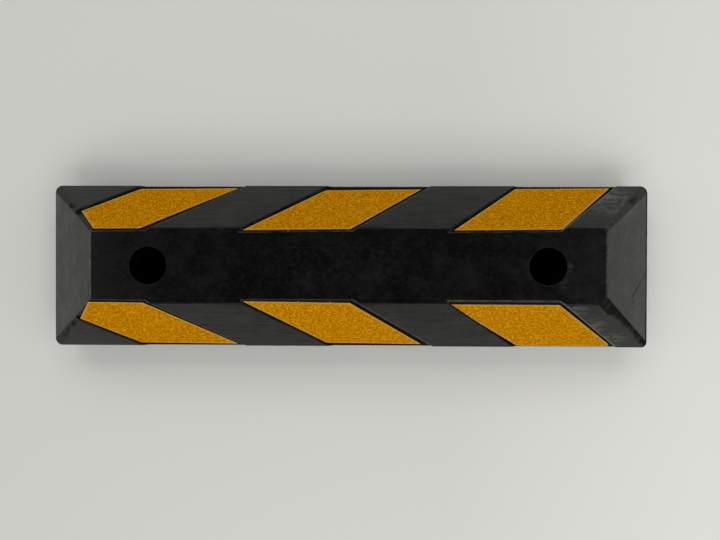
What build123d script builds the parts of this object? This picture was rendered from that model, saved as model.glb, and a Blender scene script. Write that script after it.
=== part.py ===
from build123d import *
import math
import os

# Rubber wheel stop, in millimetres. X runs along the stop, Y across it and Z up from the ground.
# The origin is the middle of its footprint. The front slope faces -Y and the back slope +Y.

# Moulded outline
length = 550.0
width = 150.0
height = 100.0
wall_height = 40.0          # near-vertical lower wall, below the slopes
wall_draft = 1.0            # degrees, so that the moulding leaves its mould
top_length = 424.0          # flat top
top_width = 63.0
corner_radius = 8.0         # corners in plan, at the ground
top_corner_radius = 5.0     # corners in plan, at the flat top
shoulder_radius = 2.0       # edge where the wall turns into the slopes
top_edge_radius = 1.5       # edge round the flat top

# Reflective panels and the recesses that hold them, measured on the slope
panel_thickness = 1.2
panel_length = 88.5         # along X
panel_width = 71.3          # down the slope
panel_lean = 65.2           # how far the lower edge is shifted towards +X
panel_pitch = 171.8
panel_shift = -7.8          # middle panel's centre along X
panel_gap = 1.2             # between a panel and the walls of its recess
panel_corner_radius = 0.8
end_cut_start = -213.0      # the left panels are cut off beside the hip: X where the cut meets the upper edge
end_cut_angle = 34.0        # degrees between that cut and the fall of the slope
recess_depth = 2.8
recess_run_out = 17.5       # the recess leaves through the wall below the slope

# Fixing holes
hole_spacing = 330.0
bolt_hole_diameter = 14.0
head_hole_diameter = 31.0
head_seat_height = 40.0     # ledge that the bolt head and its washer bear on
hole_rim_radius = 1.0

# Pockets moulded into the underside, in two rows with a web between them
pocket_width = 52.0         # across the stop
pocket_row_spacing = 66.0
pocket_draft = 4.0
pocket_corner_radius = 7.0
middle_pocket_length = 46.0
middle_pocket_depth = 42.0
middle_pocket_pitch = 56.5
middle_pocket_columns = 5
end_pocket_length = 50.0
end_pocket_depth = 34.0
end_pocket_centre = 229.0

# Slopes, worked out from the outline
wall_inset = wall_height * math.tan(math.radians(wall_draft))
shoulder_length = length - 2 * wall_inset
shoulder_width = width - 2 * wall_inset
slope_angle = math.atan2(height - wall_height, (shoulder_width - top_width) / 2)
front_normal = Vector(0, -math.sin(slope_angle), math.cos(slope_angle))

# Floor of the front recesses: its origin is under the edge of the flat top, with y up the slope
floor_origin = Vector(0, -top_width / 2, height) - front_normal * recess_depth
front_floor = Plane(origin=floor_origin, x_dir=(1, 0, 0), z_dir=front_normal)

sides = ("front", "back")
places = ("left", "middle", "right")


def on_side(shape, side):
    # The back is the mirror image of the front
    return shape if side == "front" else mirror(shape, about=Plane.XZ)


def slanted_outline(place, reach):
    # A slanted four-sided outline on the recess floor, which reaches this far down the slope
    centre = panel_shift + panel_pitch * (places.index(place) - 1)
    upper_left = centre - (panel_length + panel_lean) / 2
    lower_left = upper_left + panel_lean * reach / panel_width
    upper = -panel_gap
    lower = upper - reach
    return make_face(
        Polyline(
            (upper_left, upper),
            (upper_left + panel_length, upper),
            (lower_left + panel_length, lower),
            (lower_left, lower),
            close=True,
        )
    )


def hip_cut():
    # The part of the recess floor to the right of the cut beside the left hip
    run = panel_width * math.tan(math.radians(end_cut_angle))
    start = (end_cut_start, -panel_gap)
    end = (end_cut_start - run, -panel_gap - panel_width)
    return make_face(Polyline(start, (length, start[1]), (length, end[1]), end, close=True))


def reflective_panel(place):
    outline = slanted_outline(place, panel_width)
    if place == "left":
        outline = outline & hip_cut()
    rounded = fillet(outline.vertices(), panel_corner_radius)
    return extrude(front_floor * rounded, amount=panel_thickness)


def recess(place):
    # Walls stand upright where a wall square to the slope would lock the moulding in its mould.
    # The lower end runs out through the wall, and the left recess also through the hip.
    outline = offset(slanted_outline(place, panel_width + recess_run_out), panel_gap, kind=Kind.INTERSECTION)
    floor = front_floor * outline
    square = extrude(floor, amount=2 * recess_depth, dir=front_normal)
    upright = extrude(floor, amount=4 * recess_depth, dir=(0, 0, 1))
    return square + upright


def moulded_block():
    ground = Plane.XY * RectangleRounded(length, width, corner_radius)
    shoulder_corner = corner_radius - wall_inset
    shoulder = Plane.XY.offset(wall_height) * RectangleRounded(shoulder_length, shoulder_width, shoulder_corner)
    top = Plane.XY.offset(height) * RectangleRounded(top_length, top_width, top_corner_radius)
    block = loft([ground, shoulder, top], ruled=True)
    block = fillet(block.edges().filter_by_position(Axis.Z, height, height), top_edge_radius)
    return fillet(block.edges().filter_by_position(Axis.Z, wall_height, wall_height), shoulder_radius)


def fixing_hole():
    # Half section of the stepped hole, turned about its own axis; its mouth flares over the rim
    bolt = bolt_hole_diameter / 2
    head = head_hole_diameter / 2
    rim = hole_rim_radius
    over = height + 1
    walls = Polyline(
        (head, height - rim), (head, head_seat_height), (bolt, head_seat_height), (bolt, -1), (0, -1), (0, over),
        (head + rim, over), (head + rim, height),
    )
    mouth = RadiusArc((head + rim, height), (head, height - rim), rim)
    return revolve(Plane.XZ * make_face([walls, mouth]), Axis.Z)


def pocket(pocket_length, depth):
    mouth = RectangleRounded(pocket_length, pocket_width, pocket_corner_radius)
    return extrude(mouth, amount=depth, taper=pocket_draft)


def underside_pockets():
    middle = pocket(middle_pocket_length, middle_pocket_depth)
    end = pocket(end_pocket_length, end_pocket_depth)
    middle_places = GridLocations(middle_pocket_pitch, pocket_row_spacing, middle_pocket_columns, 2)
    end_places = GridLocations(2 * end_pocket_centre, pocket_row_spacing, 2, 2)
    return [place * middle for place in middle_places] + [place * end for place in end_places]


def rubber_body():
    body = moulded_block()
    for side in sides:
        body -= [on_side(recess(place), side) for place in places]
    body -= [place * fixing_hole() for place in GridLocations(hole_spacing, 1, 2, 1)]
    return body - underside_pockets()


os.makedirs("parts", exist_ok=True)
export_step(rubber_body(), "parts/rubber_body.step")
for side in sides:
    for place in places:
        export_step(on_side(reflective_panel(place), side), f"parts/reflective_panel_{side}_{place}.step")
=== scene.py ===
import math

import bmesh
import bpy
from mathutils import Matrix, Vector


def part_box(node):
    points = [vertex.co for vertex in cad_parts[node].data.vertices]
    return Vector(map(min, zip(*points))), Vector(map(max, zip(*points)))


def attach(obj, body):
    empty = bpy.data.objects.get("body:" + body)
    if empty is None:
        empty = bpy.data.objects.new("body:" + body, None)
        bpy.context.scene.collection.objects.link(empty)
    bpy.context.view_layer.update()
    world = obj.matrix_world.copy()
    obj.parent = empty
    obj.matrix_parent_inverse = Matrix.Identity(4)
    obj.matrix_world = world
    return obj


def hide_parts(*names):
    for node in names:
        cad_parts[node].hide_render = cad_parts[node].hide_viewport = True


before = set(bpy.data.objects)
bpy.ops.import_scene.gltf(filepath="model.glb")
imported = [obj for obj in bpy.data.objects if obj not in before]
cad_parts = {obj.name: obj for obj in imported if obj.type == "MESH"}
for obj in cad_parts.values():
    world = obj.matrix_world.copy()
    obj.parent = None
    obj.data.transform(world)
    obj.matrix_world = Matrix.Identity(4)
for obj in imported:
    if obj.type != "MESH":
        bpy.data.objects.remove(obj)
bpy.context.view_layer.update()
mm = 0.001
print("frame loaded:", len(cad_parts), "nodes")

# Shared by every piece: the block's long slopes, where the films lie
block = {
    "wallHeight": 40 * mm,  # near-upright wall under the slopes
    "wallDraft": math.radians(1.0),
    "topLength": 425.8 * mm,  # flat top
    "topWidth": 63 * mm,
    # rounding of the corners in plan: left front, left back, right front, right back
    "groundCorners": (7.0 * mm, 7.0 * mm, 5.4 * mm, 7.3 * mm),
    "shoulderCorners": (6.3 * mm, 6.3 * mm, 4.7 * mm, 6.6 * mm),
    "topCorners": (2 * mm, 2 * mm, 7 * mm, 3 * mm),  # small where the recesses run out over the hips
    "roundSteps": 6,
    "paintedShadeStrips": {-1: 1.2 * mm, 1: 2.6 * mm},  # painted shade: dull strips above the shoulder, at the two ends
    "hipShadeTop": 87 * mm,  # above this, the right front hip gets painted shade all round
    "edgeRound": 0.95 * mm,  # shoulder, rim of the flat top and rims of the recesses
    "wideRound": 1.9 * mm,  # upper rim of the right front recess
}
blockLow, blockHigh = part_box("rubber_body")
blockSize = blockHigh - blockLow
wallInset = block["wallHeight"] * math.tan(block["wallDraft"])
shoulderLength = blockSize.x - 2 * wallInset
shoulderWidth = blockSize.y - 2 * wallInset
slopeAngle = math.atan2(blockSize.z - block["wallHeight"], (shoulderWidth - block["topWidth"]) / 2)
slopeLength = (blockSize.z - block["wallHeight"]) / math.sin(slopeAngle)
endRun = (shoulderLength - block["topLength"]) / 2  # of an end slope, along X
sides = {"front": -1, "back": 1}
places = ("left", "middle", "right")


def outOf(side):  # unit vector square to a long slope
    return Vector((0, sides[side] * math.sin(slopeAngle), math.cos(slopeAngle)))


def upOf(side):  # unit vector up a long slope
    return Vector((0, -sides[side] * math.cos(slopeAngle), math.sin(slopeAngle)))


def onSlope(side, along, up, out=0.0):  # a point given along X, up from the flat top's edge, and out
    edge = Vector((along, sides[side] * block["topWidth"] / 2, blockSize.z))
    return edge + upOf(side) * up + outOf(side) * out


def alongSlope(side, way):  # a direction given along X and up the slope
    return Vector((way.x, 0, 0)) + upOf(side) * way.y


# Small tools

def fromHex(code):  # sRGB hex to linear RGBA
    shares = [int(code[i:i + 2], 16) / 255 for i in (1, 3, 5)]
    return [s / 12.92 if s <= 0.04045 else ((s + 0.055) / 1.055) ** 2.4 for s in shares] + [1.0]


def addNode(tree, kind, settings=None, values=None, links=None):
    node = tree.nodes.new(kind)
    for name, value in (settings or {}).items():
        setattr(node, name, value)
    for name, value in (values or {}).items():
        node.inputs[name].default_value = value
    for name, source in (links or {}).items():
        tree.links.new(source, node.inputs[name])
    return node


def newMaterial(name):
    material = bpy.data.materials.new(name)
    material.use_nodes = True
    material.node_tree.nodes.clear()
    return material, material.node_tree


def makeActive(piece):
    bpy.ops.object.select_all(action="DESELECT")
    piece.select_set(True)
    bpy.context.view_layer.objects.active = piece


def startPiece(name):  # the primitive just added becomes a named piece, with its place in its mesh
    piece = bpy.context.object
    piece.name = piece.data.name = name
    bpy.ops.object.transform_apply(location=True, rotation=True, scale=True)
    return piece


def pick(kind, test):  # in edit mode, selects the faces, edges or corners that pass the test
    bpy.ops.mesh.select_mode(type=kind)
    bpy.ops.mesh.select_all(action="DESELECT")
    mesh = bmesh.from_edit_mesh(bpy.context.object.data)
    for item in {"FACE": mesh.faces, "EDGE": mesh.edges, "VERT": mesh.verts}[kind]:
        if test(item):
            item.select_set(True)
    mesh.select_flush_mode()
    bmesh.update_edit_mesh(bpy.context.object.data)


def middleOf(edge):
    return (edge.verts[0].co + edge.verts[1].co) / 2


def carve(piece, cutter):  # takes the cutter's shape out of the piece
    makeActive(piece)
    cut = piece.modifiers.new("carve", "BOOLEAN")
    cut.operation = "DIFFERENCE"
    cut.solver = "EXACT"
    cut.material_mode = "TRANSFER"
    cut.object = cutter
    bpy.ops.object.modifier_apply(modifier=cut.name)
    bpy.data.objects.remove(cutter)


def joinAll(pieces):
    bpy.ops.object.select_all(action="DESELECT")
    for piece in pieces:
        piece.select_set(True)
    bpy.context.view_layer.objects.active = pieces[0]
    bpy.ops.object.join()
    return bpy.context.object


def copyPiece(piece, shift):  # a copy with its own mesh
    copy = piece.copy()
    copy.data = piece.data.copy()
    copy.data.transform(Matrix.Translation(shift))
    bpy.context.scene.collection.objects.link(copy)
    return copy


def smoothPiece(piece, sharpAngle):
    makeActive(piece)
    bpy.ops.object.shade_smooth_by_angle(angle=math.radians(sharpAngle))
    level = piece.modifiers.new("flatFaces", "WEIGHTED_NORMAL")
    level.keep_sharp = True
    bpy.ops.object.modifier_apply(modifier=level.name)


# Camera, at the place that the photograph was taken from: above, a little right of the middle
camera = {
    "lens": 28.58,  # mm
    "sensor": 36,  # mm, across
    "place": Vector((16.7, -0.5, 569.8)) * mm,
    "tilt": [math.radians(a) for a in (0.335, -0.744, -0.174)],  # about X, Y and Z
}
bpy.ops.object.camera_add()
eye = bpy.context.object
eye.name = "photoCamera"
eye.data.lens = camera["lens"]
eye.data.sensor_width = camera["sensor"]
turnX, turnY, turnZ = [Matrix.Rotation(a, 4, axis) for a, axis in zip(camera["tilt"], "XYZ")]
eye.matrix_world = Matrix.Translation(camera["place"]) @ (turnZ @ turnY @ turnX).transposed()
bpy.context.scene.camera = eye
print("camera placed")

# Floor, lamps and dome
studio = {
    "floorSize": 12.0,
    "floorPaintedLight": ("#DCDCD7", "#E8E8E3"),  # painted light: the paper's tone at the left, and brighter at the right
    "floorPaintedLightFade": (0.1, 0.35),  # along X, between the two tones
    "lamps": {  # place, size and power in watts
        "frontLamp": ((0.15, -0.80, 1.10), (1.4, 0.5), 7.9),
        "backLamp": ((-0.10, 0.80, 1.08), (1.4, 0.5), 5.1),
        "leftLamp": ((-1.00, -0.10, 1.10), (0.6, 0.6), 1.5),
        "rightLamp": ((1.00, -0.10, 1.10), (0.6, 0.6), 2.2),
    },
    "dome": ((0.00, 0.58), (0.35, 0.50), (0.75, 0.29), (0.93, 0.02)),  # height on the dome, brightness
}


def paperFloor():  # matt paper sweep, with painted light: brighter to the right
    material, tree = newMaterial("mattPaper")
    place = addNode(tree, "ShaderNodeTexCoord")
    parts = addNode(tree, "ShaderNodeSeparateXYZ", links={"Vector": place.outputs["Object"]})
    start, end = studio["floorPaintedLightFade"]
    fade = addNode(tree, "ShaderNodeMapRange", values={"From Min": start, "From Max": end},
                   links={"Value": parts.outputs["X"]})
    left, right = studio["floorPaintedLight"]
    colour = addNode(tree, "ShaderNodeMix", {"data_type": "RGBA"}, {6: fromHex(left), 7: fromHex(right)},
                     {0: fade.outputs["Result"]})
    shader = addNode(tree, "ShaderNodeBsdfPrincipled", values={
        "Roughness": 0.9, "Specular IOR Level": 0.1}, links={"Base Color": colour.outputs[2]})
    addNode(tree, "ShaderNodeOutputMaterial", links={"Surface": shader.outputs["BSDF"]})
    bpy.ops.object.select_all(action="DESELECT")
    bpy.ops.mesh.primitive_plane_add(size=studio["floorSize"])
    floor = startPiece("floor")
    floor.data.materials.append(material)


def studioLight():
    for name, (place, size, power) in studio["lamps"].items():
        bpy.ops.object.light_add(type="AREA", location=place)
        lamp = bpy.context.object
        lamp.name = name
        lamp.data.shape = "RECTANGLE"
        lamp.data.size, lamp.data.size_y = size
        lamp.data.energy = power
        lamp.rotation_euler = (-Vector(place)).to_track_quat("-Z", "Y").to_euler()
    world = bpy.data.worlds.new("studioDome")
    bpy.context.scene.world = world
    world.use_nodes = True
    tree = world.node_tree
    tree.nodes.clear()
    direction = addNode(tree, "ShaderNodeTexCoord")
    parts = addNode(tree, "ShaderNodeSeparateXYZ", links={"Vector": direction.outputs["Generated"]})
    ramp = addNode(tree, "ShaderNodeValToRGB", links={"Fac": parts.outputs["Z"]})
    ramp.color_ramp.interpolation = "EASE"
    while len(ramp.color_ramp.elements) < len(studio["dome"]):
        ramp.color_ramp.elements.new(0.5)
    for stop, (height, light) in zip(ramp.color_ramp.elements, studio["dome"]):
        stop.position = height
        stop.color = (light, light, light, 1)
    sky = addNode(tree, "ShaderNodeBackground", links={"Color": ramp.outputs["Color"]})
    addNode(tree, "ShaderNodeOutputWorld", links={"Surface": sky.outputs["Background"]})


paperFloor()
studioLight()
bpy.context.scene.view_settings.view_transform = "Standard"
print("floor and light set")

# Compression-moulded black rubber: near black and half dull, with streaks where it flowed, some dust, and
# scuffs that also carry painted highlights and painted shade
rubber = {
    "black": "#080808",
    "streak": "#1E1E1D",
    "dust": "#3A3A37",
    "smear": "#56564F",
    # pale tone of the scuffs and of the painted highlights on rims and ridges
    "scuffAndHighlightTone": "#6A6A66",
    "streakLength": 45 * mm,
    "streakWidth": 1.5 * mm,
    "cloud": 18 * mm,
    "lint": 13 * mm,
    "scuffsAndPaintedLight": 3 * mm,
    "grain": 0.8 * mm,  # finer in life, where it would be too fine to show
    # mould release wiped about by hand: middle of the patch, its reach and how strongly it shows
    "wiped": (
        (Vector((228, 62, 62)) * mm, 34 * mm, 0.9),
        (Vector((189, -39, 90)) * mm, 14 * mm, 0.9),
        (Vector((212, -53, 70)) * mm, 16 * mm, 0.9),
        (Vector((235, -67, 50)) * mm, 18 * mm, 0.9),
        (Vector((181, 0, 100)) * mm, 5 * mm, 0.25),
        (Vector((178, -13, 100)) * mm, 6 * mm, 0.25),
    ),
    "wipeFull": 0.3,  # share of the reach inside which a patch shows fully
    "wipeWidth": 5 * mm,
    "wipeTurn": math.radians(-20),
    # how much finer the flow's pattern is, along and across, where it spreads: blotches and clouds
    "levelFlow": (14, 0.5),
    "endFlow": (5, 0.22),
    # plainer finishes: dark and light tone, size of the patches, depth of the grain, roughness and
    # specular level
    "recess": ("#1E1609", "#30281A", 0.8 * mm, 0.15 * mm, 0.75, 0.0),
    "rubbed": ("#1C1C1B", "#40403E", 11 * mm, 0.1 * mm, 0.6, 0.0),
    # bore: painted shade inside the fixing holes
    "bore": ("#040404", "#080808", 6 * mm, 0.05 * mm, 0.6, 0.0),
}


def wipedMarks(tree, place):  # curved streaks, in the patches that were wiped
    near = None
    for middle, reach, strength in rubber["wiped"]:
        away = addNode(tree, "ShaderNodeVectorMath", {"operation": "DISTANCE"}, {1: middle},
                       {0: place.outputs["Object"]})
        patch = addNode(tree, "ShaderNodeMapRange", values={
            "From Min": reach, "From Max": rubber["wipeFull"] * reach, "To Max": strength},
            links={"Value": away.outputs["Value"]})
        if near:
            patch = addNode(tree, "ShaderNodeMath", {"operation": "MAXIMUM"},
                            links={0: near, 1: patch.outputs["Result"]})
        near = patch.outputs[0]
    across = 1 / rubber["wipeWidth"]
    wiped = addNode(tree, "ShaderNodeMapping", values={
        "Rotation": (0, 0, rubber["wipeTurn"]), "Scale": (0.3 * across, across, 0.6 * across)},
        links={"Vector": place.outputs["Object"]})
    marks = addNode(tree, "ShaderNodeTexNoise", values={"Scale": 1.0, "Detail": 3.0, "Distortion": 1.8},
                    links={"Vector": wiped.outputs["Vector"]})
    edges = addNode(tree, "ShaderNodeMapRange", values={"From Min": 0.43, "From Max": 0.58},
                    links={"Value": marks.outputs["Fac"]})
    smeared = addNode(tree, "ShaderNodeMath", {"operation": "MULTIPLY"},
                      links={0: edges.outputs["Result"], 1: near})
    return smeared.outputs["Value"]


def mouldedRubber():
    material, tree = newMaterial("compressionMouldedRubber")
    place = addNode(tree, "ShaderNodeTexCoord")
    flow = addNode(tree, "ShaderNodeAttribute", {"attribute_name": "mouldFlow"})
    share = addNode(tree, "ShaderNodeSeparateXYZ", links={"Vector": flow.outputs["Vector"]})
    along = addNode(tree, "ShaderNodeMapping", values={
        "Scale": (1 / rubber["streakLength"], 1 / rubber["streakWidth"], 1)},
        links={"Vector": flow.outputs["Vector"]})
    streaks = addNode(tree, "ShaderNodeTexNoise", values={"Scale": 1.0, "Detail": 3.0, "Roughness": 0.6},
                      links={"Vector": along.outputs["Vector"]})
    lines = addNode(tree, "ShaderNodeMapRange", values={"From Min": 0.45, "From Max": 0.64},
                    links={"Value": streaks.outputs["Fac"]})
    lined = addNode(tree, "ShaderNodeMath", {"operation": "MULTIPLY"},
                    links={0: lines.outputs["Result"], 1: share.outputs["Z"]})
    tone = addNode(tree, "ShaderNodeMix", {"data_type": "RGBA", "clamp_factor": False}, {
        6: fromHex(rubber["black"]), 7: fromHex(rubber["streak"])}, {0: lined.outputs["Value"]})

    cloud = addNode(tree, "ShaderNodeTexNoise", values={
        "Scale": 1 / rubber["cloud"], "Detail": 6.0, "Roughness": 0.65},
        links={"Vector": place.outputs["Object"]})
    patches = addNode(tree, "ShaderNodeMapRange", values={
        "From Min": 0.48, "From Max": 0.66, "To Max": 0.17}, links={"Value": cloud.outputs["Fac"]})
    dusted = addNode(tree, "ShaderNodeMath", {"operation": "MULTIPLY"},
                     links={0: patches.outputs["Result"], 1: share.outputs["Z"]})
    dusty = addNode(tree, "ShaderNodeMix", {"data_type": "RGBA"}, {7: fromHex(rubber["dust"])},
                    {0: dusted.outputs["Value"], 6: tone.outputs[2]})
    cells = addNode(tree, "ShaderNodeTexVoronoi", values={"Scale": 1 / rubber["lint"]},
                    links={"Vector": place.outputs["Object"]})
    lint = addNode(tree, "ShaderNodeMapRange", values={
        "From Min": 0.08, "From Max": 0.02, "To Max": 0.15}, links={"Value": cells.outputs["Distance"]})
    linted = addNode(tree, "ShaderNodeMix", {"data_type": "RGBA"}, {7: fromHex(rubber["smear"])},
                     {0: lint.outputs["Result"], 6: dusty.outputs[2]})
    smeared = addNode(tree, "ShaderNodeMix", {"data_type": "RGBA"}, {7: fromHex(rubber["smear"])},
                      {0: wipedMarks(tree, place), 6: linted.outputs[2]})
    # scuffs and painted highlights, from the body's attribute, lighten towards the pale tone
    wearAndPaintedLight = addNode(tree, "ShaderNodeAttribute", {"attribute_name": "scuffAndPaintedLight"})
    scuffsAndPaintedLight = addNode(tree, "ShaderNodeTexNoise", values={"Scale": 1 / rubber["scuffsAndPaintedLight"], "Detail": 3.0},
                     links={"Vector": place.outputs["Object"]})
    uneven = addNode(tree, "ShaderNodeMapRange", values={
        "From Min": 0.35, "From Max": 0.6, "To Min": 0.3}, links={"Value": scuffsAndPaintedLight.outputs["Fac"]})
    scuffedAndPaintedLight = addNode(tree, "ShaderNodeMath", {"operation": "MULTIPLY"},
                      links={0: uneven.outputs["Result"], 1: wearAndPaintedLight.outputs["Fac"]})
    colour = addNode(tree, "ShaderNodeMix", {"data_type": "RGBA"}, {7: fromHex(rubber["scuffAndHighlightTone"])},
                     {0: scuffedAndPaintedLight.outputs["Value"], 6: smeared.outputs[2]})

    dull = addNode(tree, "ShaderNodeMapRange", values={
        "From Min": 0.35, "From Max": 0.65, "To Min": 0.22, "To Max": 0.39},
        links={"Value": cloud.outputs["Fac"]})
    grain = addNode(tree, "ShaderNodeTexNoise", values={"Scale": 1 / rubber["grain"], "Detail": 2.0},
                    links={"Vector": place.outputs["Object"]})
    bump = addNode(tree, "ShaderNodeBump", values={"Strength": 0.2, "Distance": 0.05 * mm},
                   links={"Height": grain.outputs["Fac"]})
    shader = addNode(tree, "ShaderNodeBsdfPrincipled", values={"IOR": 1.5, "Specular IOR Level": 0.12},
                     links={"Base Color": colour.outputs[2], "Roughness": dull.outputs["Result"],
                            "Normal": bump.outputs["Normal"]})
    addNode(tree, "ShaderNodeOutputMaterial", links={"Surface": shader.outputs["BSDF"]})
    return material


def plainRubber(name, finish):
    dark, light, patch, depth, rough, gloss = rubber[finish]
    material, tree = newMaterial(name)
    place = addNode(tree, "ShaderNodeTexCoord")
    cloud = addNode(tree, "ShaderNodeTexNoise", values={
        "Scale": 1 / patch, "Detail": 3.0, "Roughness": 0.5}, links={"Vector": place.outputs["Object"]})
    # scuffs, painted highlights and painted shade, from the body's attribute
    wearAndPaintedLight = addNode(tree, "ShaderNodeAttribute", {"attribute_name": "scuffAndPaintedLight"})
    scuffedAndPaintedLight = addNode(tree, "ShaderNodeMath", links={0: cloud.outputs["Fac"], 1: wearAndPaintedLight.outputs["Fac"]})
    patches = addNode(tree, "ShaderNodeMapRange", values={"From Min": 0.46, "From Max": 0.74},
                      links={"Value": scuffedAndPaintedLight.outputs["Value"]})
    colour = addNode(tree, "ShaderNodeMix", {"data_type": "RGBA"}, {
        6: fromHex(dark), 7: fromHex(light)}, {0: patches.outputs["Result"]})
    bump = addNode(tree, "ShaderNodeBump", values={"Strength": 0.4, "Distance": depth},
                   links={"Height": cloud.outputs["Fac"]})
    shader = addNode(tree, "ShaderNodeBsdfPrincipled", values={
        "Roughness": rough, "IOR": 1.5, "Specular IOR Level": gloss},
        links={"Base Color": colour.outputs[2], "Normal": bump.outputs["Normal"]})
    addNode(tree, "ShaderNodeOutputMaterial", links={"Surface": shader.outputs["BSDF"]})
    return material


blackRubber = mouldedRubber()
# recesses, roughened for the glue: dull, with brown traces of it
rawRubber = plainRubber("roughenedRubber", "recess")
# hips and shoulder, rubbed by handling: no gloss; it also carries painted shade on the hips and in the
# strips above the shoulder at the ends
dullRubber = plainRubber("rubbedAndShadeRubber", "rubbed")
# holes, where no wear and little light gets in: near black, painted shade
boreShadeRubber = plainRubber("boreShadeRubber", "bore")
print("rubber mixed")

# Reflective film: yellow sheet with a face of fine glass beads, cut by hand to a slanted outline
film = {
    "thick": 1.2 * mm,
    "length": 88.5 * mm,  # along X
    "width": 71.3 * mm,  # down the slope
    "lean": 65.2 * mm,  # how far the lower edge is shifted towards +X
    "gap": 1.2 * mm,  # to the walls of the recess
    "cornerRound": 0.8 * mm,
    "rimRound": 0.4 * mm,
    "sheet": 0.5,  # uncut sheet, across
    "tones": ((0.36, "#A26500"), (0.5, "#BE7C00"), (0.64, "#DA9E1A")),  # level of the grain, colour
    "rubbed": "#C8A45A",
    "rubWidth": 3.2 * mm,
    # cut edge tone: dark, and painted shade of the gap beside the film
    "cut": "#3A2200",
    "chip": "#4A3408",
    "beads": 1.7 * mm,  # clumps of beads: a single bead is too fine to show
    "drawn": 0.7,  # clumps are longer down the slope, the way that the sheet was drawn
    "specks": 5 * mm,
    "chips": 2.5 * mm,
    # how each film was cut and laid: mm that its left and right edges lie towards +X, degrees that they
    # are turned, mm that its upper edge lies low and its lower edge is cut short, degrees that both tilt
    "laid": {
        "front_left": ((-1.0, -1.0), (0, 0.5), -0.9, 0.5, -1.1),
        "front_middle": ((0.7, -1.4), (0, -0.5), -1.7, 1.4, -1.3),
        "front_right": ((-2.0, -1.0), (2.5, 0.5), 1.1, -2.0, -0.2),
        "back_left": ((-1.3, -1.8), (1, 2), -0.8, 1.4, -1.0),
        "back_middle": ((1.2, -0.4), (0.5, 0), -1.7, 3.4, -1.3),
        "back_right": ((2.0, 0.4), (-0.5, -1.5), -1.7, 0.8, -1.0),
    },
    # left films are cut off beside the hip: where the cut meets the upper edge, and its angle to the fall
    "endCut": {"front": (-215.8 * mm, math.radians(33)), "back": (-211.4 * mm, math.radians(37))},
    "blunt": {"front_right": 238.8 * mm},  # lower tip cut off, at this X
}
recess = {
    "depth": 2.8 * mm, "runOut": 17.5 * mm, "mouth": 6 * mm,
    "glueBeds": {"front_middle": 0.4 * mm},  # extra depth, where the film lies on a thick bed of glue
    "shifts": {  # mm that its slanted walls lie towards +X
        "front_middle": (1.3, 1.2), "front_right": (-0.6, -1.4),
        "back_left": (-3.0, 0), "back_right": (1.0, -1.4),
    },
    # mm that its upper wall lies up the slope, and degrees that it tilts: elsewhere, the headroom and the
    # film's own tilt
    "headroom": 0.8,
    "upperWalls": {"front_middle": (1.0, 0.0), "front_right": (-0.4, -0.2)},
}


def panelCentre(place):  # along X, from the frame's middle and right panels
    boxes = [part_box("reflective_panel_front_" + p) for p in places[1:]]
    middle, right = [(low.x + high.x) / 2 for low, high in boxes]
    return middle + (right - middle) * (places.index(place) - 1)


def slantedCuts(place, grow, reach, shifts=(0, 0), turns=(0, 0), drop=0, short=0, tilt=0):
    # for each cut, a point on it and the way out of the sheet
    middle = Vector((panelCentre(place), -film["gap"] - film["width"] / 2))
    half = Vector((-film["lean"], film["width"])) / 2  # from there to the middle of the upper edge
    rise = Vector((-math.sin(math.radians(tilt)), math.cos(math.radians(tilt))))
    upper = middle + half - rise * drop * mm
    lower = middle - half + rise * short * mm
    cuts = [(upper + rise * grow, rise), (lower - rise * reach, -rise)]
    for way, shift, turn in zip((-1, 1), shifts, turns):
        lean = math.atan2(film["lean"], film["width"]) + math.radians(turn)
        square = way * Vector((math.cos(lean), math.sin(lean)))
        edge = middle + Vector((way * film["length"] / 2 + shift * mm, 0))
        cuts.append((edge + square * grow, square))
    return cuts


def cutSheet(name, side, place, out, cuts):  # a flat sheet on the slope, cut along each line
    centre = onSlope(side, panelCentre(place), -slopeLength / 2, out)
    bpy.ops.object.select_all(action="DESELECT")
    bpy.ops.mesh.primitive_plane_add(size=film["sheet"], location=centre,
                                     rotation=(-sides[side] * slopeAngle, 0, 0))
    sheet = startPiece(name)
    bpy.ops.object.mode_set(mode="EDIT")
    for point, way in cuts:
        bpy.ops.mesh.select_all(action="SELECT")
        bpy.ops.mesh.bisect(plane_co=onSlope(side, point.x, point.y, out), plane_no=alongSlope(side, way),
                            clear_outer=True)
    bpy.ops.mesh.select_all(action="SELECT")
    return sheet


def endCut(side):  # a point on the cut beside the left hip, and the way out of the sheet
    start, angle = film["endCut"][side]
    return Vector((start, -film["gap"])), Vector((-math.cos(angle), math.sin(angle)))


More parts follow.
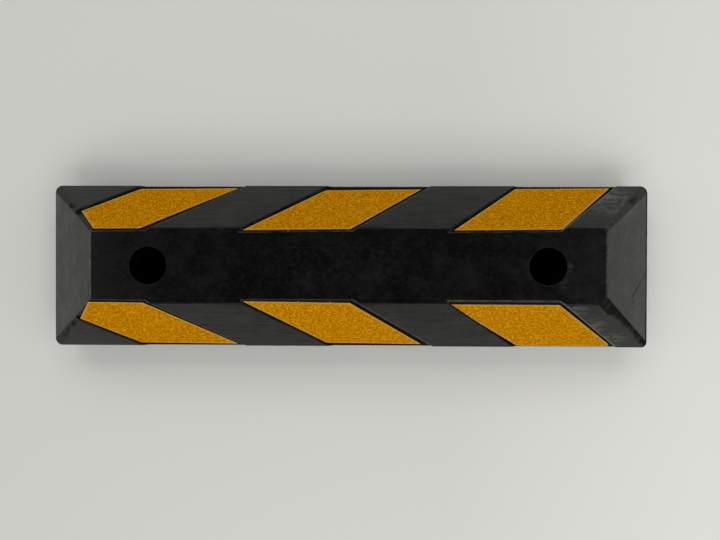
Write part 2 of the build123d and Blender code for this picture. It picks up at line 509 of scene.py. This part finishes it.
def beadFilm():  # glass beads in yellow binder: grainy, with no gloss of its own
    material, tree = newMaterial("glassBeadFilm")
    place = addNode(tree, "ShaderNodeTexCoord")
    fine = 1 / film["beads"]
    long = film["drawn"] * fine
    drawn = addNode(tree, "ShaderNodeMapping", values={"Scale": (fine, long, long)},
                    links={"Vector": place.outputs["Object"]})
    beads = addNode(tree, "ShaderNodeTexNoise", values={"Scale": 1.0, "Detail": 3.0, "Roughness": 0.7},
                    links={"Vector": drawn.outputs["Vector"]})
    tone = addNode(tree, "ShaderNodeValToRGB", links={"Fac": beads.outputs["Fac"]})
    tone.color_ramp.elements.new(0.5)
    for stop, (level, code) in zip(tone.color_ramp.elements, film["tones"]):
        stop.position = level
        stop.color = fromHex(code)
    cells = addNode(tree, "ShaderNodeTexVoronoi", values={"Scale": 1 / film["specks"]},
                    links={"Vector": place.outputs["Object"]})
    speck = addNode(tree, "ShaderNodeMapRange", values={
        "From Min": 0.11, "From Max": 0.05, "To Max": 0.6}, links={"Value": cells.outputs["Distance"]})
    specked = addNode(tree, "ShaderNodeMix", {"data_type": "RGBA"}, {7: fromHex(film["chip"])},
                      {0: speck.outputs["Result"], 6: tone.outputs["Color"]})
    rim = addNode(tree, "ShaderNodeAttribute", {"attribute_name": "rubbedRim"})
    rubbed = addNode(tree, "ShaderNodeMath", {"operation": "MULTIPLY"},
                     links={0: rim.outputs["Fac"], 1: rim.outputs["Fac"]})
    colour = addNode(tree, "ShaderNodeMix", {"data_type": "RGBA"}, {7: fromHex(film["rubbed"])},
                     {0: rubbed.outputs["Value"], 6: specked.outputs[2]})
    bump = addNode(tree, "ShaderNodeBump", values={"Strength": 0.35, "Distance": 0.2 * mm},
                   links={"Height": beads.outputs["Fac"]})
    shader = addNode(tree, "ShaderNodeBsdfPrincipled", values={
        "Roughness": 0.7, "Specular IOR Level": 0.0},
        links={"Base Color": colour.outputs[2], "Normal": bump.outputs["Normal"]})
    addNode(tree, "ShaderNodeOutputMaterial", links={"Surface": shader.outputs["BSDF"]})
    return material


def makeSheetEdgeAndShade():  # the cut through backing and binder: dark with dirt and glue, and painted shade of the gap beside the film; pale where it is chipped
    material, tree = newMaterial("filmSheetEdgeAndShade")
    place = addNode(tree, "ShaderNodeTexCoord")
    chips = addNode(tree, "ShaderNodeTexNoise", values={"Scale": 1 / film["chips"], "Detail": 2.0},
                    links={"Vector": place.outputs["Object"]})
    chipped = addNode(tree, "ShaderNodeMapRange", values={"From Min": 0.68, "From Max": 0.75},
                      links={"Value": chips.outputs["Fac"]})
    colour = addNode(tree, "ShaderNodeMix", {"data_type": "RGBA"}, {
        6: fromHex(film["cut"]), 7: fromHex(film["rubbed"])}, {0: chipped.outputs["Result"]})
    shader = addNode(tree, "ShaderNodeBsdfPrincipled", values={
        "Roughness": 0.7, "Specular IOR Level": 0.1}, links={"Base Color": colour.outputs[2]})
    addNode(tree, "ShaderNodeOutputMaterial", links={"Surface": shader.outputs["BSDF"]})
    return material


beadFace = beadFilm()
sheetEdgeAndShade = makeSheetEdgeAndShade()


def reflectiveFilm(side, place):
    panel = f"{side}_{place}"
    node = "reflective_panel_" + panel
    cuts = slantedCuts(place, 0, 0, *film["laid"][panel])
    if place == "left":
        cuts.append(endCut(side))
    if panel in film["blunt"]:
        cuts.append((Vector((film["blunt"][panel], 0)), Vector((1, 0))))
    piece = cutSheet(node + "_film", side, place, -recess["depth"], cuts)
    piece.data.materials.append(beadFace)
    piece.data.materials.append(sheetEdgeAndShade)
    out = outOf(side)
    bpy.ops.mesh.extrude_region_move(TRANSFORM_OT_translate={"value": out * film["thick"]})
    bpy.ops.mesh.select_all(action="SELECT")
    bpy.ops.mesh.normals_make_consistent(inside=False)
    pick("EDGE", lambda e: abs((e.verts[1].co - e.verts[0].co).normalized().dot(out)) > 0.9)
    bpy.ops.mesh.bevel(offset=film["cornerRound"], segments=3, affect="EDGES", clamp_overlap=True)
    pick("EDGE", lambda e: any(f.normal.dot(out) > 0.9 for f in e.link_faces)
         and all(f.normal.dot(out) > -0.1 for f in e.link_faces))
    bpy.ops.mesh.bevel(offset=film["rimRound"], segments=2, affect="EDGES", clamp_overlap=True)
    # the film's sides and rims take the cut tone, which also paints the shade in the gap beside it
    pick("FACE", lambda f: f.normal.dot(out) < 0.999)
    piece.active_material_index = 1
    bpy.ops.object.material_slot_assign()
    for point, way in cuts:  # a line beside each cut, as far in as the rim is rubbed
        pick("FACE", lambda f: f.normal.dot(out) > 0.999)
        line = point - way * film["rubWidth"]
        bpy.ops.mesh.bisect(plane_co=onSlope(side, line.x, line.y), plane_no=alongSlope(side, way))
    bpy.ops.object.mode_set(mode="OBJECT")
    rim = piece.data.attributes.new("rubbedRim", "FLOAT", "POINT")
    for vertex in piece.data.vertices:
        spot = Vector((vertex.co.x, (vertex.co - onSlope(side, 0, 0)).dot(upOf(side))))
        nearest = min((point - spot).dot(way) for point, way in cuts)
        rim.data[vertex.index].value = max(0, 1 - nearest / film["rubWidth"])
    smoothPiece(piece, sharpAngle=40)
    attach(piece, "root")
    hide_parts(node)


for side in sides:
    for place in places:
        reflectiveFilm(side, place)
print("films cut and laid")

# Rubber body: one moulding, with recesses for the films, stepped fixing holes and pockets underneath
insert = {
    "middle": Vector((-1.9, -0.15, 0)) * mm, "size": (95.4 * mm, 30.3 * mm),
    "depth": 0.35 * mm, "corner": 1.5 * mm,
}
scores = {
    "width": 0.9 * mm, "depth": 0.4 * mm,
    "lines": (  # end, and from where to where along X and Y
        (-1, (-214.5, -15.0), (-214.5, -26.5)),
        (1, (249.0, -27.0), (272.5, -5.5)),
    ),
}
holes = {
    "spacing": 330 * mm, "boltRadius": 7 * mm, "headRadius": 15.5 * mm, "seat": 40 * mm,
    "rimRound": 0.7 * mm, "roundSteps": 64,
}
pockets = {
    "width": 52 * mm, "rowSpacing": 66 * mm, "draft": math.radians(4),
    "cornerRound": 7 * mm, "roofRound": 3 * mm, "rimRound": 1 * mm,
    "middleLength": 46 * mm, "middleDepth": 42 * mm, "pitch": 56.5 * mm, "columns": 5,
    "endLength": 50 * mm, "endDepth": 34 * mm, "endCentre": 229 * mm,
}


def marked(piece, name):  # a cutter's own material shows where it has cut
    material = bpy.data.materials.get(name) or bpy.data.materials.new(name)
    piece.data.materials.clear()
    piece.data.materials.append(material)
    return piece


def roundedOutline(length, width, height, corners):
    bpy.ops.object.select_all(action="DESELECT")
    bpy.ops.mesh.primitive_plane_add(size=1, location=(0, 0, height))
    bpy.context.object.scale = (length, width, 1)
    outline = startPiece("outline")
    bpy.ops.object.mode_set(mode="EDIT")
    for (x, y), corner in zip(((-1, -1), (-1, 1), (1, -1), (1, 1)), corners):
        spot = Vector((x * length / 2, y * width / 2, height))
        pick("VERT", lambda v: (v.co - spot).length < 0.01 * mm)
        bpy.ops.mesh.bevel(offset=corner, segments=block["roundSteps"], affect="VERTICES")
    bpy.ops.object.mode_set(mode="OBJECT")
    return outline


def onHip(normal):  # between an end slope and a long slope
    return 0.2 < normal.z < 0.95 and abs(normal.x) > 0.03 and abs(normal.y) > 0.03


def onEnd(normal, way):  # on one of the end slopes
    return way * normal.x > 0.5 and normal.z > 0.2


def bareBlock():  # rounded outlines at the ground, the shoulder and the flat top, bridged into a block
    outlines = [
        roundedOutline(blockSize.x, blockSize.y, 0, block["groundCorners"]),
        roundedOutline(shoulderLength, shoulderWidth, block["wallHeight"], block["shoulderCorners"]),
        roundedOutline(block["topLength"], block["topWidth"], blockSize.z, block["topCorners"]),
    ]
    piece = joinAll(outlines)
    piece.name = piece.data.name = "rubberBody"
    piece.data.materials.append(blackRubber)
    for name in ("edgeMark", "hipMark"):
        piece.data.materials.append(bpy.data.materials.new(name))
    bpy.ops.object.mode_set(mode="EDIT")
    pick("FACE", lambda f: abs(f.calc_center_median().z - block["wallHeight"]) < mm)
    bpy.ops.mesh.delete(type="ONLY_FACE")
    for low, high in ((0, block["wallHeight"]), (block["wallHeight"], blockSize.z)):
        pick("EDGE", lambda e: len(e.link_faces) < 2 and min(
            abs(middleOf(e).z - low), abs(middleOf(e).z - high)) < mm)
        bpy.ops.mesh.bridge_edge_loops()
    bpy.ops.mesh.select_all(action="SELECT")
    bpy.ops.mesh.normals_make_consistent(inside=False)
    piece.active_material_index = piece.data.materials.find("hipMark")
    pick("FACE", lambda f: onHip(f.normal))
    bpy.ops.object.material_slot_assign()
    pick("FACE", lambda f: onHip(f.normal) and f.normal.x > 0 > f.normal.y)
    bpy.ops.mesh.bisect(plane_co=(0, 0, block["hipShadeTop"]), plane_no=(0, 0, 1))
    # painted shade: a strip of the rubbed finish along the foot of each end slope
    for way, strip in block["paintedShadeStrips"].items():
        height = block["wallHeight"] + strip
        pick("FACE", lambda f: onEnd(f.normal, way))
        bpy.ops.mesh.bisect(plane_co=(0, 0, height), plane_no=(0, 0, 1))
        pick("FACE", lambda f: onEnd(f.normal, way) and f.calc_center_median().z < height)
        bpy.ops.object.material_slot_assign()
    bpy.ops.object.mode_set(mode="OBJECT")
    return piece


def recessCutter(side, place):  # walls square to the slope or upright, whichever frees the moulding
    panel = f"{side}_{place}"
    shifts = recess["shifts"].get(panel, (0, 0))
    rise, tilt = recess["upperWalls"].get(panel, (recess["headroom"], film["laid"][panel][-1]))
    depth = recess["depth"] + recess["glueBeds"].get(panel, 0)
    cuts = slantedCuts(place, film["gap"], recess["runOut"], shifts, drop=-rise, tilt=tilt)
    cutter = cutSheet("recess", side, place, -depth, cuts)
    bpy.ops.mesh.extrude_region_move(TRANSFORM_OT_translate={"value": outOf(side) * recess["mouth"]})
    pick("FACE", lambda f: abs(f.normal.dot(outOf(side))) > 0.9 and
         (f.calc_center_median() - onSlope(side, 0, 0, -depth)).dot(outOf(side)) < 0.1 * mm)
    bpy.ops.mesh.duplicate_move(TRANSFORM_OT_translate={"value": (0, 0, 2 * recess["mouth"])})
    bpy.ops.mesh.select_all(action="SELECT")
    bpy.ops.mesh.convex_hull()
    bpy.ops.object.mode_set(mode="OBJECT")
    return marked(cutter, "recessMark")


def insertCutter():  # shallow step that a blank insert in the mould leaves on the flat top
    length, width = insert["size"]
    cutter = roundedOutline(length, width, blockSize.z - insert["depth"], 4 * [insert["corner"]])
    bpy.ops.object.mode_set(mode="EDIT")
    bpy.ops.mesh.select_all(action="SELECT")
    bpy.ops.mesh.extrude_region_move(TRANSFORM_OT_translate={"value": (0, 0, 2 * insert["depth"])})
    grow = 4 * insert["depth"]
    bpy.ops.transform.resize(value=(1 + grow / length, 1 + grow / width, 1))
    bpy.ops.mesh.select_all(action="SELECT")
    bpy.ops.mesh.normals_make_consistent(inside=False)
    bpy.ops.object.mode_set(mode="OBJECT")
    cutter.data.transform(Matrix.Translation(insert["middle"]))
    return marked(cutter, "insertMark")


def holeCutter():  # stepped, from the flat top down
    over = 1 * mm
    bpy.ops.object.select_all(action="DESELECT")
    bpy.ops.mesh.primitive_circle_add(vertices=holes["roundSteps"], radius=holes["headRadius"],
                                      fill_type="NGON", location=(0, 0, blockSize.z + over))
    cutter = startPiece("fixingHole")
    bpy.ops.object.mode_set(mode="EDIT")
    bpy.ops.mesh.select_all(action="SELECT")
    fall = holes["seat"] - blockSize.z - over
    bpy.ops.mesh.extrude_region_move(TRANSFORM_OT_translate={"value": (0, 0, fall)})
    bpy.ops.mesh.extrude_region_move()
    narrow = holes["boltRadius"] / holes["headRadius"]
    bpy.ops.transform.resize(value=(narrow, narrow, 1))
    bpy.ops.mesh.extrude_region_move(TRANSFORM_OT_translate={"value": (0, 0, -holes["seat"] - over)})
    bpy.ops.mesh.select_all(action="SELECT")
    bpy.ops.mesh.normals_make_consistent(inside=False)
    bpy.ops.object.mode_set(mode="OBJECT")
    return marked(cutter, "holeMark")


def scoreCutter(way, start, end):  # a knife's or a stone's score on an end slope, from point to point
    out = Vector((way * (blockSize.z - block["wallHeight"]), 0, endRun)).normalized()
    along = end - start
    across = out.cross(along).normalized()
    axes = Matrix((along, across * scores["width"], out * 2 * scores["depth"])).transposed()
    bpy.ops.object.select_all(action="DESELECT")
    bpy.ops.mesh.primitive_cube_add(size=1)
    bpy.context.object.matrix_world = Matrix.Translation((start + end) / 2) @ axes.to_4x4()
    return marked(startPiece("score"), "hipMark")


def pocketCutter(length, depth):  # tapers upwards, with round corners
    over = 1 * mm
    bpy.ops.object.select_all(action="DESELECT")
    bpy.ops.mesh.primitive_cube_add(size=1, location=(0, 0, (depth - over) / 2),
                                    scale=(length, pockets["width"], depth + over))
    cutter = startPiece("pocket")
    shrink = 2 * depth * math.tan(pockets["draft"])
    bpy.ops.object.mode_set(mode="EDIT")
    pick("FACE", lambda f: f.normal.z > 0.9)
    bpy.ops.transform.resize(value=(1 - shrink / length, 1 - shrink / pockets["width"], 1))
    pick("EDGE", lambda e: abs(e.verts[0].co.z - e.verts[1].co.z) > 1 * mm)
    bpy.ops.mesh.bevel(offset=pockets["cornerRound"], segments=5, affect="EDGES")
    pick("EDGE", lambda e: all(abs(v.co.z - depth) < 0.1 * mm for v in e.verts))
    bpy.ops.mesh.bevel(offset=pockets["roofRound"], segments=3, affect="EDGES")
    bpy.ops.object.mode_set(mode="OBJECT")
    return marked(cutter, "pocketMark")


def roundEdges(piece, width, steps, mark, shareOf):  # rounds each edge by its share of the width
    makeActive(piece)
    mesh = bmesh.new()
    mesh.from_mesh(piece.data)
    shares = mesh.edges.layers.float.new("bevel_weight_edge")
    for edge in mesh.edges:
        edge[shares] = shareOf(edge)
    mesh.to_mesh(piece.data)
    mesh.free()
    bevel = piece.modifiers.new("roundEdges", "BEVEL")
    bevel.limit_method = "WEIGHT"
    bevel.width = width
    bevel.segments = steps
    bevel.use_clamp_overlap = False
    bevel.material = piece.data.materials.find(mark)
    bpy.ops.object.modifier_apply(modifier=bevel.name)
    piece.data.attributes.remove(piece.data.attributes["bevel_weight_edge"])
    bpy.ops.object.mode_set(mode="EDIT")
    bpy.ops.mesh.select_all(action="SELECT")
    bpy.ops.mesh.dissolve_degenerate(threshold=0.01 * mm)
    bpy.ops.object.mode_set(mode="OBJECT")


def rimOf(piece, mark):  # test for the edges that one kind of cutter left, apart from those on the hips
    index = piece.data.materials.find(mark)

    def test(edge):
        outside = [f for f in edge.link_faces if f.material_index != index]
        return len(outside) == 1 and abs(outside[0].normal.x) < 0.3
    return test


def ringAt(height):  # test for the edges of the block's own outline at a height
    def test(edge):
        return all(abs(v.co.z - height) < 0.01 * mm for v in edge.verts) and edge.calc_face_angle() > 0.3
    return test


# How the body is worn, and where light and shade are painted on it, face by face
wear = {
    # how strongly streaks and dust show
    "streaks": {"insert": 0.4, "level": 0.25, "wall": 0.8, "end": 1.2, "leftTip": 2.1, "slope": 1.8},
    # how far a face or a rim is made paler, below 0 for darker: scuffs, with painted highlights on the
    # ridges and on the rims that face left and front, and painted shade on the hips
    "scuffsAndPaintedLight": {
        "hipShadeTop": -0.12, "end": 0.09, "leftRidge": 0.6, "rightRidge": 0.3,
        "rightRim": 0.7, "frontRim": 0.55, "backRim": 0.35,
        "rightUpper": 0.25, "frontUpper": 0.17, "backLeftUpper": 0.15, "backUpper": 0.05,
    },
    "hipFoot": 50 * mm,  # height between the hips and the strips above the shoulder
    # along X: the left slopes' tips, the bare floors and the left recesses end here
    "leftTip": -215 * mm,
    "bareFloor": -222 * mm,
    "leftRecess": -100 * mm,
    # and the right recesses, the front one's right rim and the right corners begin here
    "rightRecess": 60 * mm,
    "rightRim": 120 * mm,
    "rightCorner": 200 * mm,
}
topInside = block["topWidth"] / 2 - mm  # along Y: within the flat top's own rim


def showing(face, mark):  # how strongly streaks and dust show on a face
    across, side, up = face.normal
    streaks = wear["streaks"]
    if mark == "insertMark":
        return streaks["insert"]
    if abs(up) > 0.9:
        return streaks["level"]
    if abs(up) < 0.1:
        return streaks["wall"]
    if abs(across) > abs(side):
        return streaks["end"]
    return streaks["leftTip" if face.center.x < wear["leftTip"] else "slope"]


def scuffingAndPaintedLight(face, mark):  # how far a face is made paler: scuffs, painted highlights on rims and ridges, and painted shade on the hips
    across, side, up = face.normal
    x, y, z = face.center
    scuffsAndPaintedLight = wear["scuffsAndPaintedLight"]
    # painted shade, darker, on faces with the hips' mark near the top: the right front hip and the hole
    # rims
    if mark == "hipMark" and z > block["hipShadeTop"]:
        return scuffsAndPaintedLight["hipShadeTop"]
    if mark == "hipMark" and z > wear["hipFoot"]:  # painted shade: one hip is dark along the end, the others darkest midway round, in patches
        turn = 2 / math.pi * math.atan2(abs(side), abs(across))
        return 0.5 * turn ** 2 + scuffsAndPaintedLight["hipShadeTop"] if y < 0 < x else 0.16 + 0.8 * (turn - 0.5) ** 2
    if mark == blackRubber.name and abs(across) > 0.5 and 0.2 < up < 0.9:
        return scuffsAndPaintedLight["end"]
    if mark != "edgeMark" or z < block["wallHeight"] + 2 * mm or across > 0.02 and abs(side) > 0.02:
        return 0
    # ridges of the flat top: scuffs, and painted highlight, stronger on the left
    if abs(side) < 0.1 and abs(across) > 0.1:
        return scuffsAndPaintedLight["leftRidge" if across < 0 else "rightRidge"]
    if across < -0.1 and abs(side) > 0.1:  # slanted rims of the recesses that face left: scuffs and painted highlight
        return scuffsAndPaintedLight["backRim" if y > 0 else "rightRim" if x > wear["rightRim"] else "frontRim"]
    if side < -0.1 and abs(y) < topInside:  # upper rims of the front recesses: scuffs and painted highlight
        return scuffsAndPaintedLight["rightUpper" if x > wear["rightRecess"] else "frontUpper"]
    if side > 0.1 and abs(y) < topInside:  # and of the back ones, with a weaker painted highlight
        return scuffsAndPaintedLight["backLeftUpper" if x < 0 else "backUpper"]
    return 0


def addFlow(piece):  # for the material: the rubber's flow, how strongly it shows, and scuffs with painted light and shade
    flow = piece.data.attributes.new("mouldFlow", "FLOAT_VECTOR", "CORNER")
    scuffAndHighlightTone = piece.data.attributes.new("scuffAndPaintedLight", "FLOAT", "FACE")
    for face in piece.data.polygons:
        level = abs(face.normal.z) > 0.9
        endwise = abs(face.normal.x) > abs(face.normal.y)
        mark = piece.data.materials[face.material_index].name
        shows = showing(face, mark)
        scuffAndHighlightTone.data[face.index].value = scuffingAndPaintedLight(face, mark)
        for corner in face.loop_indices:
            spot = piece.data.vertices[piece.data.loops[corner].vertex_index].co
            if level:
                fine, along, across = rubber["levelFlow"], spot.x, spot.y
            elif endwise:
                fine, along, across = rubber["endFlow"], spot.y, spot.z - abs(spot.x)
            else:
                fine, along, across = (1, 1), spot.x, spot.z - abs(spot.y)
            flow.data[corner].vector = (fine[0] * along, fine[1] * across, shows)


def finishOf(face, mark):  # which of the body's materials a face has
    across, side, up = face.normal
    x, y, z = face.center
    if mark == "holeMark":
        return boreShadeRubber
    if mark == "hipMark":
        return dullRubber
    if mark == "recessMark" and abs(across) < 0.05 and up > 0.5:  # floor: left bare beside the left hip
        return blackRubber if x < wear["bareFloor"] else rawRubber
    if mark == "recessMark":  # the walls along the left of the back films are the darkest
        return dullRubber if across > 0.3 and y > 0 else rawRubber
    if mark != "edgeMark":
        return blackRubber
    shoulder = abs(z - block["wallHeight"]) < 1.5 * mm
    facesBack = z > block["wallHeight"] and side > 0.1 and abs(across) < 0.1 and y < topInside
    rightCorner = x > wear["rightCorner"] and across > 0.02 and abs(side) > 0.02
    return dullRubber if shoulder or facesBack or rightCorner else blackRubber


def giveMaterials(piece):  # the cutters' marks become the materials of the faces that they left
    names = [material.name for material in piece.data.materials]
    finishes = [blackRubber, rawRubber, dullRubber, boreShadeRubber]
    wanted = [finishes.index(finishOf(face, names[face.material_index])) for face in piece.data.polygons]
    piece.data.materials.clear()
    for finish in finishes:
        piece.data.materials.append(finish)
    piece.data.polygons.foreach_set("material_index", wanted)


def splitFloors(piece):  # the floors of the left recesses, along the films' ends
    makeActive(piece)
    bpy.ops.object.mode_set(mode="EDIT")
    mark = piece.data.materials.find("recessMark")
    for side in sides:
        pick("FACE", lambda f: f.material_index == mark and f.normal.dot(outOf(side)) > 0.99
             and f.calc_center_median().x < wear["leftRecess"])
        point, way = endCut(side)
        bpy.ops.mesh.bisect(plane_co=onSlope(side, point.x, point.y), plane_no=alongSlope(side, way))
    bpy.ops.object.mode_set(mode="OBJECT")


def rubberBody():
    body = bareBlock()
    carve(body, joinAll([recessCutter(side, place) for side in sides for place in places]))
    recessRim = rimOf(body, "recessMark")
    rings = [ringAt(block["wallHeight"]), ringAt(blockSize.z)]
    narrow = block["edgeRound"] / block["wideRound"]

    def shareOf(edge):
        if not recessRim(edge):
            return narrow * any(ring(edge) for ring in rings)
        x, y, z = middleOf(edge)
        upper = -topInside < y < 0 and z > blockSize.z - 0.1 * mm
        return 1 if upper and x > wear["rightRecess"] else narrow

    roundEdges(body, block["wideRound"], 3, "edgeMark", shareOf)
    carve(body, insertCutter())
    hole = holeCutter()
    cutters = [copyPiece(hole, (way * holes["spacing"] / 2, 0, 0)) for way in (-1, 1)]
    bpy.data.objects.remove(hole)
    carve(body, joinAll(cutters))
    roundEdges(body, holes["rimRound"], 3, "hipMark", rimOf(body, "holeMark"))
    fall = (blockSize.z - block["wallHeight"]) / endRun
    for way, *ends in scores["lines"]:
        spots = [Vector((x, y, 0)) * mm for x, y in ends]
        for spot in spots:
            spot.z = blockSize.z - (abs(spot.x) - block["topLength"] / 2) * fall
        carve(body, scoreCutter(way, *spots))
    middle = pocketCutter(pockets["middleLength"], pockets["middleDepth"])
    end = pocketCutter(pockets["endLength"], pockets["endDepth"])
    cutters = []
    for row in (-1, 1):
        y = row * pockets["rowSpacing"] / 2
        for column in range(pockets["columns"]):
            x = (column - (pockets["columns"] - 1) / 2) * pockets["pitch"]
            cutters.append(copyPiece(middle, (x, y, 0)))
        for way in (-1, 1):
            cutters.append(copyPiece(end, (way * pockets["endCentre"], y, 0)))
    bpy.data.objects.remove(middle)
    bpy.data.objects.remove(end)
    carve(body, joinAll(cutters))
    roundEdges(body, pockets["rimRound"], 2, "edgeMark", rimOf(body, "pocketMark"))
    splitFloors(body)
    addFlow(body)
    giveMaterials(body)
    smoothPiece(body, sharpAngle=35)
    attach(body, "root")
    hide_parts("rubber_body")


rubberBody()
print("rubber body moulded")
